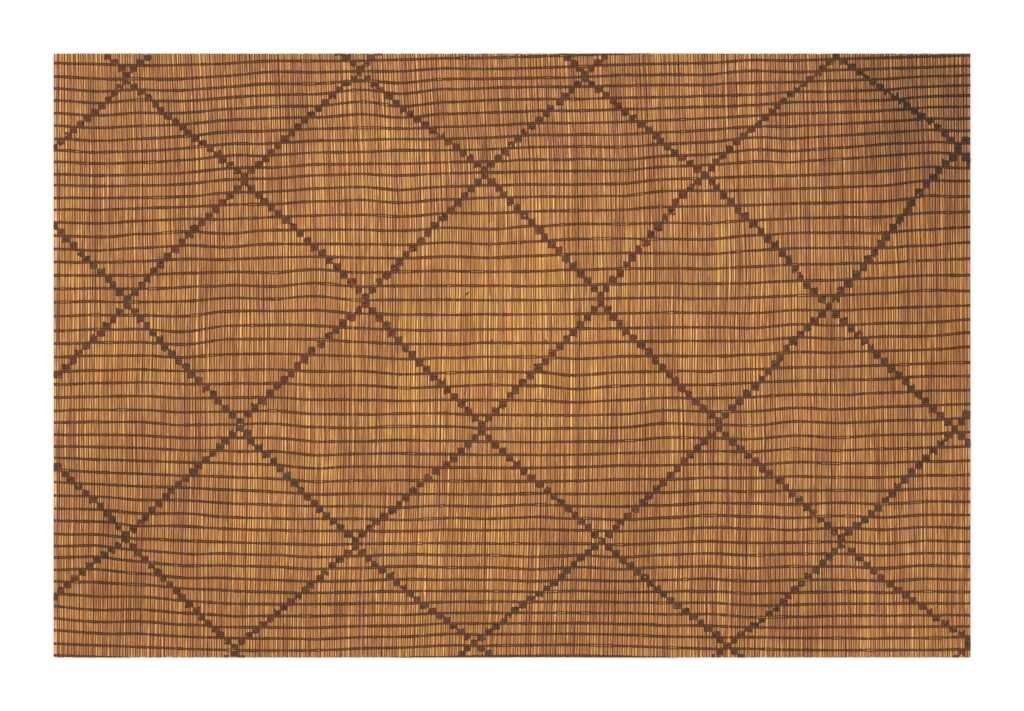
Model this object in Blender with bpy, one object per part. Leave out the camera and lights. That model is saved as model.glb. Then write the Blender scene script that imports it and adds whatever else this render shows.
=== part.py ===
"""A Tuareg mat: a cut length of reeds laid side by side and bound by rows of leather thong.

Metres, +Z up. The mat lies flat. X runs across the reeds, from the left edge to the right one, and Y
runs along them, from the bottom edge to the top one. The origin is under the middle of the mat.

The reeds are one panel with a rib for each pair of reeds, on both faces. Each thong is a closed loop of
flat leather: a front run over the reeds, a back run under them, and a turn round the last reed at each
edge. Small blocks of leather, three reeds wide, stand out from the front runs. They climb from thong to
thong, one on each side of it, and make the two sets of diagonals of a diamond lattice.
"""

import math

import bmesh
import bpy
import numpy as np

MM = 0.001
MAT_WIDTH = 0.9168
MAT_LENGTH = 0.6038
CLEARANCE = 0.0003

REED_COUNT = 382
REED_THICKNESS = 0.0024
REEDS_IN_RIB = 2
GROOVE_DEPTH = 0.0006
REED_COLOUR = (0.42, 0.20, 0.07)
REED_ROUGHNESS = 0.55

THONG_COUNT = 47
THONG_WIDTH = 0.0024
LEATHER_THICKNESS = 0.0009
EDGE_ROW_PITCH = 0.011
LEAST_LEATHER = 0.0005
LEATHER_COLOUR = (0.14, 0.06, 0.03)
LEATHER_ROUGHNESS = 0.7

BLOCK_REEDS = 3
BLOCK_SIDE_GAP = 0.00015
BLOCK_TIP_GAP = 0.0002
LEAST_BLOCK_HEIGHT = 0.001
STOP_TO_BLOCK = 0.05
BACK_STOPS_MM = (189, 477)

PANEL_LEFT = LEATHER_THICKNESS + CLEARANCE
PANEL_WIDTH = MAT_WIDTH - 2 * PANEL_LEFT
REED_PITCH = PANEL_WIDTH / REED_COUNT

# Heights of the layers, from the back runs up to the front runs.
BACK_TOP = LEATHER_THICKNESS
PANEL_BOTTOM = BACK_TOP + CLEARANCE
PANEL_TOP = PANEL_BOTTOM + REED_THICKNESS
FRONT_BOTTOM = PANEL_TOP + CLEARANCE
FRONT_TOP = FRONT_BOTTOM + LEATHER_THICKNESS

# How far below the top edge a thong lies, in millimetres, at seven distances from the left edge.
# The rows between two listed ones are spaced evenly.
STATIONS_MM = (9, 117, 189, 369, 477, 765, 909)
THONG_DEPTH_MM = {
    0: (10, 12, 9, 6, 3, -6, -9),
    1: (24, 26, 21, 17, 14, 6, 2),
    3: (48, 48, 44, 37, 34, 28, 22),
    6: (86, 83, 78, 74, 71, 60, 54),
    10: (132, 131, 126, 121, 119, 107, 99),
    12: (156, 154, 151, 147, 144, 134, 126),
    20: (262, 262, 259, 261, 261, 257, 252),
    27: (356, 358, 359, 361, 361, 355, 351),
    33: (429, 433, 437, 441, 441, 437, 434),
    38: (493, 499, 502, 502, 502, 501, 501),
    41: (529, 534, 538, 538, 538, 539, 539),
    46: (591, 595, 597, 593, 591, 597, 596),
}

# Where two lines of blocks cross, one level below another: the step, and the middle of the block there in
# millimetres from the left edge. A step is one block: step 2k lies just below thong k, and step 2k - 1
# just above it. At a half step the two lines keep together for the steps on both sides of it. From each
# crossing a line goes straight to the nearest ones on its left and its right in the next level. The levels
# and crossings past the cut edges only give the lines their slant.
CROSSINGS = (
    ((-16.5, -40), (-16.5, 190), (-16.5, 420), (-16.5, 655), (-16.5, 905)),
    ((1.5, -160), (1.5, 74), (1.5, 306), (3.5, 532), (0.5, 784), (1.5, 1020)),
    ((19.5, -40), (19.5, 190), (19.5, 430), (21, 650), (18.5, 905)),
    ((37.5, -160), (37.5, 73), (37.5, 312), (37.5, 547), (39, 776), (37.5, 1020)),
    ((55.5, -43), (55.5, 185), (55.5, 428), (55.5, 664), (57, 900)),
    ((73.5, -160), (73.5, 72), (73.5, 302), (73, 549), (73.5, 790), (73.5, 1025)),
    ((91.5, -50), (91.5, 180), (91, 421), (91, 674), (90.5, 915)),
    ((109.5, -160), (109.5, 62), (109.5, 300), (109.5, 550), (109.5, 790), (109.5, 1025)),
)


def clear_scene():
    for thing in list(bpy.data.objects):
        bpy.data.objects.remove(thing, do_unlink=True)


def material(name, colour, roughness):
    made = bpy.data.materials.new(name)
    made.use_nodes = True
    shader = made.node_tree.nodes["Principled BSDF"]
    shader.inputs["Base Color"].default_value = (*colour, 1.0)
    shader.inputs["Roughness"].default_value = roughness
    shader.inputs["Metallic"].default_value = 0.0
    return made


def solid(name, points, faces, finish, parent):
    """One closed body from its points and faces, with every face turned outwards."""
    mesh = bpy.data.meshes.new(name)
    mesh.from_pydata([tuple(p) for p in points], [], faces)
    work = bmesh.new()
    work.from_mesh(mesh)
    bmesh.ops.recalc_face_normals(work, faces=work.faces)
    work.to_mesh(mesh)
    work.free()
    mesh.materials.append(finish)
    piece = bpy.data.objects.new(name, mesh)
    piece.parent = parent
    bpy.context.collection.objects.link(piece)
    return piece


def smooth_through(stations, values, x):
    """A cubic curve through the values, whose slope at a station is that between its neighbours."""
    stations = np.array(stations, float)
    values = np.array(values, float)
    slopes = np.gradient(values, stations)
    i = np.clip(np.searchsorted(stations, x) - 1, 0, len(stations) - 2)
    step = stations[i + 1] - stations[i]
    t = (x - stations[i]) / step
    rise = values[i + 1] - values[i]
    bend_in = step * slopes[i] - rise
    bend_out = rise - step * slopes[i + 1]
    return values[i] + t * rise + t * (1 - t) * ((1 - t) * bend_in + t * bend_out)


def thong_depth(row, x):
    """How far the middle of a thong lies below the top edge, at x from the left edge."""
    if row < 0:
        return thong_depth(0, x) - EDGE_ROW_PITCH
    if row > THONG_COUNT - 1:
        return thong_depth(THONG_COUNT - 1, x) + EDGE_ROW_PITCH
    listed = sorted(THONG_DEPTH_MM)
    columns = zip(*(THONG_DEPTH_MM[r] for r in listed))
    depths = [np.interp(row, listed, column) for column in columns]
    return smooth_through(STATIONS_MM, depths, x / MM) * MM


def within_mat(depth):
    return min(max(depth, 0.0), MAT_LENGTH)


def place(x, depth, z):
    """A point of the mat, from its distance to the left edge, depth below the top edge and height."""
    return (x - MAT_WIDTH / 2, MAT_LENGTH / 2 - depth, z)


def block_middles(step):
    """The middle of the block of each line at one step, as distances from the left edge."""
    found = []
    for level, next_level in zip(CROSSINGS, CROSSINGS[1:]):
        for start, x in level:
            on_the_left = [crossing for crossing in next_level if crossing[1] < x][-1:]
            on_the_right = [crossing for crossing in next_level if crossing[1] > x][:1]
            for stop, far_x in on_the_left + on_the_right:
                steps = (math.ceil(start), math.floor(stop))
                if steps[0] <= step <= steps[1]:
                    found.append(np.interp(step, steps, (x, far_x)) * MM)
    return found


def lattice_blocks(step):
    """The spans of leather blocks at one step, from left to right, with those that touch made one."""
    spans = []
    for middle in block_middles(step):
        first = round((middle - PANEL_LEFT) / REED_PITCH - BLOCK_REEDS / 2)
        start = max(first, 0)
        stop = min(first + BLOCK_REEDS, REED_COUNT)
        if stop > start:
            spans.append([start, stop])
    merged = []
    for start, stop in sorted(spans):
        if merged and start <= merged[-1][1]:
            merged[-1][1] = max(stop, merged[-1][1])
        else:
            merged.append([start, stop])
    return [
        (PANEL_LEFT + start * REED_PITCH + BLOCK_SIDE_GAP, PANEL_LEFT + stop * REED_PITCH - BLOCK_SIDE_GAP)
        for start, stop in merged
    ]


class Run:
    """One flat run of a thong seen from above: its points as (x, depth), its faces and its two rails."""

    def __init__(self):
        self.points = []
        self.cells = []
        self.rails = []

    def add(self, x, depth):
        self.points.append((x, within_mat(depth)))
        return len(self.points) - 1

    def add_rail(self, row, side, ends, stops, blocks):
        """One edge of the run, with the blocks that stand out from it. side is -1 above and 1 below."""
        corners = [x for block in blocks for x in block]
        free = [s for s in stops if all(abs(s - x) > STOP_TO_BLOCK for x in corners)]
        places = sorted([*ends, *free, *corners])
        rail = {x: self.add(x, thong_depth(row, x) + side * THONG_WIDTH / 2) for x in places}
        for start, stop in blocks:
            tips = []
            for x in (start, stop):
                halfway = (thong_depth(row, x) + thong_depth(row + side, x)) / 2
                tips.append(self.add(x, halfway - side * BLOCK_TIP_GAP))
            self.cells.append((rail[start], rail[stop], tips[1], tips[0]))
        self.rails.append([(x, rail[x]) for x in places])

    def fill(self):
        """Triangles between the two rails, each with its base on one rail and its tip on the other."""
        above, below = self.rails
        i = j = 0
        while i + 1 < len(above) or j + 1 < len(below):
            step_above = j + 1 == len(below) or (i + 1 < len(above) and above[i + 1][0] <= below[j + 1][0])
            if step_above:
                self.cells.append((above[i][1], below[j][1], above[i + 1][1]))
                i += 1
            else:
                self.cells.append((above[i][1], below[j][1], below[j + 1][1]))
                j += 1

    def end(self, which):
        """The two points of an end of the run, above and below."""
        return tuple(rail[which][1] for rail in self.rails)

    def outline(self):
        """The edges that only one face uses."""
        uses = {}
        for cell in self.cells:
            for a, b in zip(cell, (*cell[1:], cell[0])):
                uses.setdefault(frozenset((a, b)), []).append((a, b))
        return [pairs[0] for pairs in uses.values() if len(pairs) == 1]


def make_run(row, ends, stops_mm, blocks_above, blocks_below):
    """A run between its two ends, with a point at each stop that lies well inside it."""
    stops = [s * MM for s in stops_mm if s * MM < ends[1] - STOP_TO_BLOCK]
    run = Run()
    run.add_rail(row, -1, ends, stops, blocks_above)
    run.add_rail(row, 1, ends, stops, blocks_below)
    run.fill()
    return run


def thick_run(run, bottom, top, turned_ends, points, faces):
    """Gives a run its thickness. A turned end gets no wall, and its corners are returned, low and high."""
    first = len(points)
    second = first + len(run.points)
    points += [place(x, depth, bottom) for x, depth in run.points]
    points += [place(x, depth, top) for x, depth in run.points]
    turned = {frozenset(run.end(which)) for which in turned_ends}
    for cell in run.cells:
        faces.append(tuple(first + i for i in reversed(cell)))
        faces.append(tuple(second + i for i in cell))
    for a, b in run.outline():
        if frozenset((a, b)) not in turned:
            faces.append((first + a, first + b, second + b, second + a))
    return [[(first + i, second + i) for i in run.end(which)] for which in turned_ends]


def turn_end(x, depths, front_corners, back_corners, points, faces):
    """The turn of a thong round the last reed, from its front run down to its back run.

    Its outer wall stands at x. The corners of the two runs make the inner wall: on each side of the
    thong a column of four points, one above the other.
    """
    outer = []
    for depth in depths:
        outer.append((len(points), len(points) + 1))
        points.append(place(x, depth, 0.0))
        points.append(place(x, depth, FRONT_TOP))
    columns = [(*back, *front) for back, front in zip(back_corners, front_corners)]
    near, far = columns
    (near_low, near_high), (far_low, far_high) = outer
    faces.append((near_low, far_low, far_high, near_high))
    faces.append((near[1], far[1], far[2], near[2]))
    faces.append((near_high, far_high, far[3], near[3]))
    faces.append((near_low, far_low, far[0], near[0]))
    for (low, high), column in zip(outer, columns):
        for lower, upper in zip(column, column[1:]):
            faces.append((low, lower, upper))
        faces.append((low, column[-1], high))


def blocks_beside(row, side, right):
    """The blocks that stand out above a thong (side -1) or below it (side 1), up to its right end."""
    step = 2 * row if side > 0 else 2 * row - 1
    found = []
    for start, stop in lattice_blocks(step):
        edge = thong_depth(row, start) + side * THONG_WIDTH / 2
        tip = (thong_depth(row, start) + thong_depth(row + side, start)) / 2
        if stop < right and abs(within_mat(tip) - within_mat(edge)) > LEAST_BLOCK_HEIGHT:
            found.append((start, stop))
    return found


def thong(row, finish, parent):
    """A loop of thong round the reeds. The first one slants out over the top edge, where it is cut."""
    reed_sides = np.linspace(PANEL_LEFT, MAT_WIDTH - PANEL_LEFT, REED_COUNT + 1)
    inside = [thong_depth(row, x) + THONG_WIDTH / 2 > LEAST_LEATHER for x in reed_sides]
    left = LEATHER_THICKNESS
    right = MAT_WIDTH - LEATHER_THICKNESS
    turned_ends = [0, -1]
    if not all(inside):
        right = reed_sides[inside.index(False)]
        turned_ends = [0]
    above = blocks_beside(row, -1, right)
    below = blocks_beside(row, 1, right)
    front = make_run(row, (left, right), STATIONS_MM[1:-1], above, below)
    back = make_run(row, (left, right), BACK_STOPS_MM, [], [])
    points, faces = [], []
    front_corners = thick_run(front, FRONT_BOTTOM, FRONT_TOP, turned_ends, points, faces)
    back_corners = thick_run(back, 0.0, BACK_TOP, turned_ends, points, faces)
    for which, over, under in zip(turned_ends, front_corners, back_corners):
        edge_of_mat = 0.0 if which == 0 else MAT_WIDTH
        depths = [front.points[i][1] for i in front.end(which)]
        turn_end(edge_of_mat, depths, over, under, points, faces)
    return solid(f"thong_{row:02d}", points, faces, finish, parent)


def reed_panel(finish, parent):
    """The reeds side by side: ridges and grooves across the mat, drawn out straight along the reeds."""
    ribs = REED_COUNT // REEDS_IN_RIB
    last = 2 * ribs
    count = last + 1
    across = np.linspace(PANEL_LEFT, PANEL_LEFT + PANEL_WIDTH, count)
    dips = [0.0 if i % 2 else GROOVE_DEPTH for i in range(count)]
    points = []
    for depth in (0.0, MAT_LENGTH):
        points += [place(x, depth, PANEL_TOP - dip) for x, dip in zip(across, dips)]
        points += [place(x, depth, PANEL_BOTTOM + dip) for x, dip in zip(across, dips)]
    faces = []
    for i in range(last):
        top, bottom, far_top, far_bottom = (i + k * count for k in range(4))
        faces.append((top, top + 1, far_top + 1, far_top))
        faces.append((bottom, far_bottom, far_bottom + 1, bottom + 1))
        faces.append((top, bottom, bottom + 1, top + 1))
        faces.append((far_top, far_top + 1, far_bottom + 1, far_bottom))
    faces.append((0, 2 * count, 3 * count, count))
    faces.append((last, last + count, last + 3 * count, last + 2 * count))
    return solid("reed_panel", points, faces, finish, parent)


def main():
    clear_scene()
    reed = material("reed", REED_COLOUR, REED_ROUGHNESS)
    leather = material("leather", LEATHER_COLOUR, LEATHER_ROUGHNESS)
    mat = bpy.data.objects.new("mat", None)
    bpy.context.collection.objects.link(mat)
    reed_panel(reed, mat)
    for row in range(THONG_COUNT):
        thong(row, leather, mat)


main()
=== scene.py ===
import math

import bpy
import numpy as np
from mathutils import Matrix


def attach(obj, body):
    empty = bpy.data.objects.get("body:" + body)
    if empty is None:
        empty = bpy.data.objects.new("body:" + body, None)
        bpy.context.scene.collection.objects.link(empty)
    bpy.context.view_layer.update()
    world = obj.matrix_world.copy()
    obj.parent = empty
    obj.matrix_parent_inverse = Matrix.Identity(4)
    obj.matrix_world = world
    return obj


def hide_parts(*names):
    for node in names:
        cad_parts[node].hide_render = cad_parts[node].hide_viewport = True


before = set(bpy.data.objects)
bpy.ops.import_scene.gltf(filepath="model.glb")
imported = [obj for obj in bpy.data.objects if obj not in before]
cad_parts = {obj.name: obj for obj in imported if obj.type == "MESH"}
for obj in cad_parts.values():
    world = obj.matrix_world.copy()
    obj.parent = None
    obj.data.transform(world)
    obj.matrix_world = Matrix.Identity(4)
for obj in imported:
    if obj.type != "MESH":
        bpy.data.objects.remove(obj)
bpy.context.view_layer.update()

# The looks of a Tuareg mat: thin reeds laid side by side, rows of leather thong twined round them, and the
# small blocks of leather that make a lattice of diamonds. Metres, in the frame of the solids. A place on the
# mat is its distance from the left edge and its depth below the top edge. The last of the rows runs along
# the bottom edge, where it is cut through, and has no solid.
MM = 0.001
MAT_WIDTH = 0.9168
MAT_LENGTH = 0.6038
PANEL_LEFT = 0.0012
PANEL_WIDTH = MAT_WIDTH - 2 * PANEL_LEFT
REED_COUNT = 382
REED_PITCH = PANEL_WIDTH / REED_COUNT
PAIR_COUNT = REED_COUNT // 2
THONG_COUNT = 47
ROW_COUNT = 48
EDGE_ROW_PITCH = 0.011
THONG_HALF_WIDTH = 0.00145

# The height of the middle of the reeds above the floor where the mat lies lowest, half their thickness, and
# how much of that their six-sided section takes up.
REED_AXIS = 0.0024
REED_HALF_HEIGHT = 0.00108
REED_FLATNESS = 0.94

# The rows of thong, as the solids have them: depth in millimetres at seven distances from the left edge.
STATIONS_MM = (9, 117, 189, 369, 477, 765, 909)
THONG_DEPTH_MM = {
    0: (10, 12, 9, 6, 3, -6, -9),
    1: (24, 26, 21, 17, 14, 6, 2),
    3: (48, 48, 44, 37, 34, 28, 22),
    6: (86, 83, 78, 74, 71, 60, 54),
    10: (132, 131, 126, 121, 119, 107, 99),
    12: (156, 154, 151, 147, 144, 134, 126),
    20: (262, 262, 259, 261, 261, 257, 252),
    27: (356, 358, 359, 361, 361, 355, 351),
    33: (429, 433, 437, 441, 441, 437, 434),
    38: (493, 499, 502, 502, 502, 501, 501),
    41: (529, 534, 538, 538, 538, 539, 539),
    46: (591, 595, 597, 593, 591, 597, 596),
}

# Where two lines of blocks cross, as the solids have them: the step, and the distance from the left edge in
# millimetres. Step 2k is just below row k, and step 2k - 1 just above it. At a half step the two lines keep
# together for the steps on both sides of it. The crossings past the cut edges give the lines their slant.
CROSSINGS = (
    ((-16.5, -40), (-16.5, 190), (-16.5, 420), (-16.5, 655), (-16.5, 905)),
    ((1.5, -160), (1.5, 74), (1.5, 306), (3.5, 532), (0.5, 784), (1.5, 1020)),
    ((19.5, -40), (19.5, 190), (19.5, 430), (21, 650), (18.5, 905)),
    ((37.5, -160), (37.5, 73), (37.5, 312), (37.5, 547), (39, 776), (37.5, 1020)),
    ((55.5, -43), (55.5, 185), (55.5, 428), (55.5, 664), (57, 900)),
    ((73.5, -160), (73.5, 72), (73.5, 302), (73, 549), (73.5, 790), (73.5, 1025)),
    ((91.5, -50), (91.5, 180), (91, 421), (91, 674), (90.5, 915)),
    ((109.5, -160), (109.5, 62), (109.5, 300), (109.5, 550), (109.5, 790), (109.5, 1025)),
)
BLOCK_REEDS = 3

# How far the reeds lean to the right of their even places, in millimetres, at eight distances from the left
# edge and five depths. The outermost reeds stand straight.
LEAN_DEPTHS_MM = (0, 150, 301, 452, 604)
LEAN_MM = {
    0: (0, 0, 0, 0, 0),
    50: (-1.5, 1.5, 1, 0, -1),
    189: (-3, 2, 2, 0.5, -1.5),
    369: (-2.5, 3, 3, 1, -4),
    549: (-3.5, 1.5, 2, 1.5, -2),
    729: (-4, -0.5, 0.5, 1.5, 2),
    867: (-4.5, -0.5, 0.5, 1.5, 3),
    917: (0, 0, 0, 0, 0),
}

# Long shallow waves in which the mat lies: half their height in millimetres, their length across and along
# in metres, and their phase.
WAVES = ((0.35, 0.62, 0.85, 0.4), (0.25, -0.41, 0.52, 2.1), (0.15, 0.27, -0.33, 4.4))

# Loose scraps of leather on the reeds: distance from the left and depth of the middle, length and width, all
# in millimetres, and how many degrees one is turned from level.
SCRAPS = (
    (413.5, 240, 5.5, 1.9, -38),
    (438, 287, 3.0, 1.6, 70),
    (411.5, 338, 8.0, 1.2, -84),
    (492, 287, 2.5, 1.6, 20),
)

# How uneven the handwork is, in millimetres: the fine wander of a row, how far a whole row is off, the
# bends that rows share, the drift that the lines between the reeds share, the wander of each line (steady,
# along it, and the most of both), the bends that reeds share, how far the ends of the reeds are cut short,
# and how high or low a reed lies.
ROW_WANDER_MM = 0.18
ROW_OFFSET_MM = 0.25
ROW_BEND_MM = 1.05
LINE_DRIFT_MM = 0.55
LINE_STEADY_MM = 0.36
LINE_WANDER_MM = 0.38
MOST_WANDER_MM = 1
REED_BEND_MM = 0.55
REED_CUT_MM = 0.2
REED_HIGH_MM = 0.09

rng = np.random.default_rng(47)


def eased(t):
    """From 0 to 1 with level ends: three t squared less two t cubed."""
    return t * t * (3 - 2 * t)


def along(heights, line, t):
    """A smooth curve for each line of heights, at t from 0 to 1: eased from one height to the next."""
    place = np.clip(t, 0, 1) * (heights.shape[1] - 1)
    low = np.minimum(place.astype(int), heights.shape[1] - 2)
    first = heights[line, low]
    return first + (heights[line, low + 1] - first) * eased(place - low)


def soft_field(knots, across, down):
    """A smooth surface, for places from 0 to 1 across and down: an eased blend between a grid of heights."""
    across, down = np.broadcast_arrays(across, down)
    place = np.clip(down, 0, 1) * (knots.shape[0] - 1)
    low = np.minimum(place.astype(int), knots.shape[0] - 2)
    above = along(knots, low, across)
    return above + (along(knots, low + 1, across) - above) * eased(place - low)


def table_surface(table, stations, row, x):
    """A surface through a table: straight from one listed row to the next, and across a row a cubic through
    the stations, whose slope at a station is that between its neighbours."""
    listed = sorted(table)
    columns = np.array([table[r] for r in listed], float).T
    at = np.stack([np.interp(row, listed, column) for column in columns], -1)
    stations = np.array(stations, float)
    slopes = np.gradient(at, stations, axis=-1)
    i = np.clip(np.searchsorted(stations, x) - 1, 0, len(stations) - 2)

    def pick(values, k):
        return np.take_along_axis(values, k[..., None], -1)[..., 0]

    step = stations[i + 1] - stations[i]
    t = (x - stations[i]) / step
    rise = pick(at, i + 1) - pick(at, i)
    bend_in = step * pick(slopes, i) - rise
    bend_out = rise - step * pick(slopes, i + 1)
    return pick(at, i) + t * rise + t * (1 - t) * ((1 - t) * bend_in + t * bend_out)


def thong_depth(row, x):
    """Depth of the middle of a row, as in the solids. Rows past the first and last keep an even pitch."""
    row, x = np.broadcast_arrays(np.asarray(row), x)
    whole = np.clip(row, 0, THONG_COUNT - 1)
    past = (row - whole) * EDGE_ROW_PITCH
    return table_surface(THONG_DEPTH_MM, STATIONS_MM, whole, x / MM) * MM + past


# The bends and the rows' wander die away towards the edges over this distance.
EDGE_CALM = 0.02
row_wander = rng.normal(size=(ROW_COUNT + 2, 46)) * ROW_WANDER_MM * MM
row_offset = rng.normal(size=ROW_COUNT + 2) * ROW_OFFSET_MM * MM
row_bends = rng.normal(size=(14, 22)) * ROW_BEND_MM * MM


def row_depth(row, x):
    """Depth of a row with the unevenness of handwork: a bend that it shares with its neighbours, and a small
    offset and a fine wander of its own. Within EDGE_CALM of a cut edge of the mat this dies away."""
    row, x = np.broadcast_arrays(row, x)
    depth = thong_depth(row, x)
    calm = np.clip(np.minimum(depth, MAT_LENGTH - depth) / EDGE_CALM, 0, 1)
    bend = soft_field(row_bends, x / MAT_WIDTH, depth / MAT_LENGTH)
    own = along(row_wander, row + 1, x / MAT_WIDTH) + row_offset[row + 1]
    return depth + calm * (bend + own)


def lean(x, depth):
    """How far a reed stands to the right of its even place: the surface through the table of leans."""
    x, depth = np.broadcast_arrays(x, depth)
    return table_surface(LEAN_MM, LEAN_DEPTHS_MM, x / MM, depth / MM) * MM


# The lines between the reeds: the slow drift where reeds are a little thicker or thinner than the rest, the
# wander of each line down the mat, how dark each line is, as painted shade in its groove with some grime,
# most of all between two pairs, how far the reeds beside it are pressed past it, most of all inside a pair,
# and the soft bends that neighbours share. The outermost reeds are wider than the rest by EDGE_REED_EXTRA,
# and their outer sides get no painted groove shade.
EDGE_REED_EXTRA = 0.0010
LINE_KNOTS = 12
LINE_DARK, DARK_STEADY, DARK_ALONG, NO_GROOVE_SHADE = 1.0, 0.7, 0.85, -2
PRESS_BETWEEN_MM, PRESS_INSIDE_MM = 0.02, 0.12
line_drift = rng.normal(size=(1, 44)) * LINE_DRIFT_MM * MM
line_drift[0, [0, -1]] = 0
line_steady = rng.normal(size=(REED_COUNT + 1, 1)) * LINE_STEADY_MM
line_wander = line_steady + rng.normal(size=(REED_COUNT + 1, LINE_KNOTS)) * LINE_WANDER_MM
line_wander = np.clip(line_wander, -MOST_WANDER_MM, MOST_WANDER_MM) * MM
line_wander[0] = -EDGE_REED_EXTRA
line_wander[-1] = EDGE_REED_EXTRA
line_between_pairs = np.arange(REED_COUNT + 1) % 2 == 0
line_dark = np.where(line_between_pairs, LINE_DARK, -LINE_DARK)
line_dark = line_dark + rng.normal(size=REED_COUNT + 1) * DARK_STEADY
line_dark = line_dark[:, None] + rng.normal(size=(REED_COUNT + 1, LINE_KNOTS)) * DARK_ALONG
line_dark[[0, -1]] = NO_GROOVE_SHADE
line_press = np.where(line_between_pairs, PRESS_BETWEEN_MM, PRESS_INSIDE_MM) * MM
reed_bends = rng.normal(size=(12, 14)) * REED_BEND_MM * MM


def reed_edge(n, depth):
    """Distance from the left of the line between reed n - 1 and reed n: its even place, plus the drift and
    the bends that it shares with its neighbours, plus a wander of its own, plus the lean there."""
    n, depth = np.broadcast_arrays(n, depth)
    even = PANEL_LEFT + n * REED_PITCH
    calm = np.clip(np.minimum(even, MAT_WIDTH - even) / EDGE_CALM, 0, 1)
    drift = along(line_drift, 0, n / REED_COUNT)
    drift = drift + calm * soft_field(reed_bends, even / MAT_WIDTH, depth / MAT_LENGTH)
    return even + drift + along(line_wander, n, depth / MAT_LENGTH) + lean(even, depth)


def lift(x, depth):
    """How far the mat stands off the floor: a sum of cosine waves, each raised so that none goes below 0."""
    total = 0
    for height, across, down, phase in WAVES:
        total = total + height * MM * (1 + np.cos(2 * math.pi * (x / across + depth / down) + phase))
    return total


def place(x, depth, z):
    """Points of the mat from distance to the left edge, depth and height, with the mat's waves added."""
    x, depth, z = np.broadcast_arrays(x, depth, z)
    return np.stack([x - MAT_WIDTH / 2, MAT_LENGTH / 2 - depth, z + lift(x, depth)], -1)


def strips(x, depth, z, half_width, rise, sink, face):
    """Rings of four points for many strips of leather at once: its two sides, its crown, which stands rise
    proud of the middle, and its belly, sunk by sink. face is 1 for a strip seen from above and -1 for one
    seen from below. Points past a cut edge of the mat are moved back to it."""
    points = [
        (depth - face * half_width, z),
        (depth, z + face * rise),
        (depth + face * half_width, z),
        (depth, z - face * sink),
    ]
    return np.stack([place(x, np.clip(d, 0, MAT_LENGTH), h) for d, h in points], -2)


# How high the four corners of a strip lie on it. A piece's map has four bands, with a margin in each: the
# four sides of a strip on the front and of one on the back lie in these, those beside its crown first.
CROWN_OF_STRIP = np.array([0.0, 1.0, 0.0, -1.0])
BANDS = 4
BAND_MARGIN = 0.01
FRONT_BANDS, BACK_BANDS = (3, 3, 1, 1), (2, 2, 0, 0)


class Batch:
    """Many closed tubes with rings of one size. rings[i, j, k] is point k of ring j of tube i, and a ring
    turns anticlockwise about the way the tube runs. looks are values for each point. row is the row that
    each tube belongs to. bands says in which quarter of the piece's map each side of a ring is laid out,
    from the lowest, 0, to the highest, 3."""

    def __init__(self, rings, looks, row, bands):
        self.rings = rings
        self.looks = {name: np.broadcast_to(v, rings.shape[:3]) for name, v in looks.items()}
        self.row = row
        self.bands = bands

    def of_rows(self, low, high):
        """The tubes of the rows from low up to, but not with, high."""
        chosen = (self.row >= low) & (self.row < high)
        looks = {name: values[chosen] for name, values in self.looks.items()}
        return Batch(self.rings[chosen], looks, self.row[chosen], self.bands)


def kept_strips(rings, looks, row, kept, bands):
    """A batch of those strips of a grid of them that are kept, with their looks and rows."""
    looks = {name: np.broadcast_to(values, rings.shape[:-1])[kept] for name, values in looks.items()}
    return Batch(rings[kept], looks, np.broadcast_to(row, kept.shape)[kept], bands)


def piece(name, batches, finish):
    """One mesh of all the batches: a quad from each side of a ring to the next ring, and a flat face on each
    end. Its map lays every side flat as seen from above, in the band that the side has."""
    points, corners, sizes, band, rounded = [], [], [], [], []
    looks = {key: [] for key in batches[0].looks}
    start = 0
    for batch in batches:
        tubes, count, around = batch.rings.shape[:3]
        index = start + np.arange(tubes * count * around).reshape(tubes, count, around)
        here, after = index[:, :-1], index[:, 1:]
        sides = np.stack([here, np.roll(here, -1, 2), np.roll(after, -1, 2), after], -1)
        corners += [sides.reshape(-1), index[:, 0, ::-1].reshape(-1), index[:, -1].reshape(-1)]
        sizes += [np.full(sides.size // 4, 4), np.full(2 * tubes, around)]
        rounded += [np.ones(sides.size // 4, bool), np.zeros(2 * tubes, bool)]
        side_band = np.broadcast_to(np.array(batch.bands)[None, None, :], sides.shape[:3]).reshape(-1)
        band += [np.repeat(side_band, 4), np.full(2 * tubes * around, batch.bands[0])]
        points.append(batch.rings.reshape(-1, 3))
        for key, values in batch.looks.items():
            looks[key].append(values.reshape(-1))
        start += index.size
    points = np.concatenate(points)
    corners = np.concatenate(corners).astype(np.int32)
    sizes = np.concatenate(sizes).astype(np.int32)
    mesh = bpy.data.meshes.new(name)
    mesh.vertices.add(len(points))
    mesh.vertices.foreach_set("co", points.astype(np.float32).ravel())
    mesh.loops.add(len(corners))
    mesh.loops.foreach_set("vertex_index", corners)
    mesh.polygons.add(len(sizes))
    mesh.polygons.foreach_set("loop_start", (np.cumsum(sizes) - sizes).astype(np.int32))
    mesh.polygons.foreach_set("loop_total", sizes)
    mesh.polygons.foreach_set("use_smooth", np.concatenate(rounded))
    for key, values in looks.items():
        layer = mesh.attributes.new(key, "FLOAT", "POINT")
        layer.data.foreach_set("value", np.concatenate(values).astype(np.float32))
    low, high = points.min(0), points.max(0)
    flat = (points[corners, :2] - low[:2]) / (high[:2] - low[:2])
    flat[:, 1] = (np.concatenate(band) + BAND_MARGIN + (1 - 2 * BAND_MARGIN) * flat[:, 1]) / BANDS
    layer = mesh.uv_layers.new(name="OFBake")
    layer.uv.foreach_set("vector", flat.astype(np.float32).ravel())
    mesh.update(calc_edges=True)
    mesh.validate()
    mesh.materials.append(finish)
    made = bpy.data.objects.new(name, mesh)
    bpy.context.scene.collection.objects.link(made)
    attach(made, "root")
    return made
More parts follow.
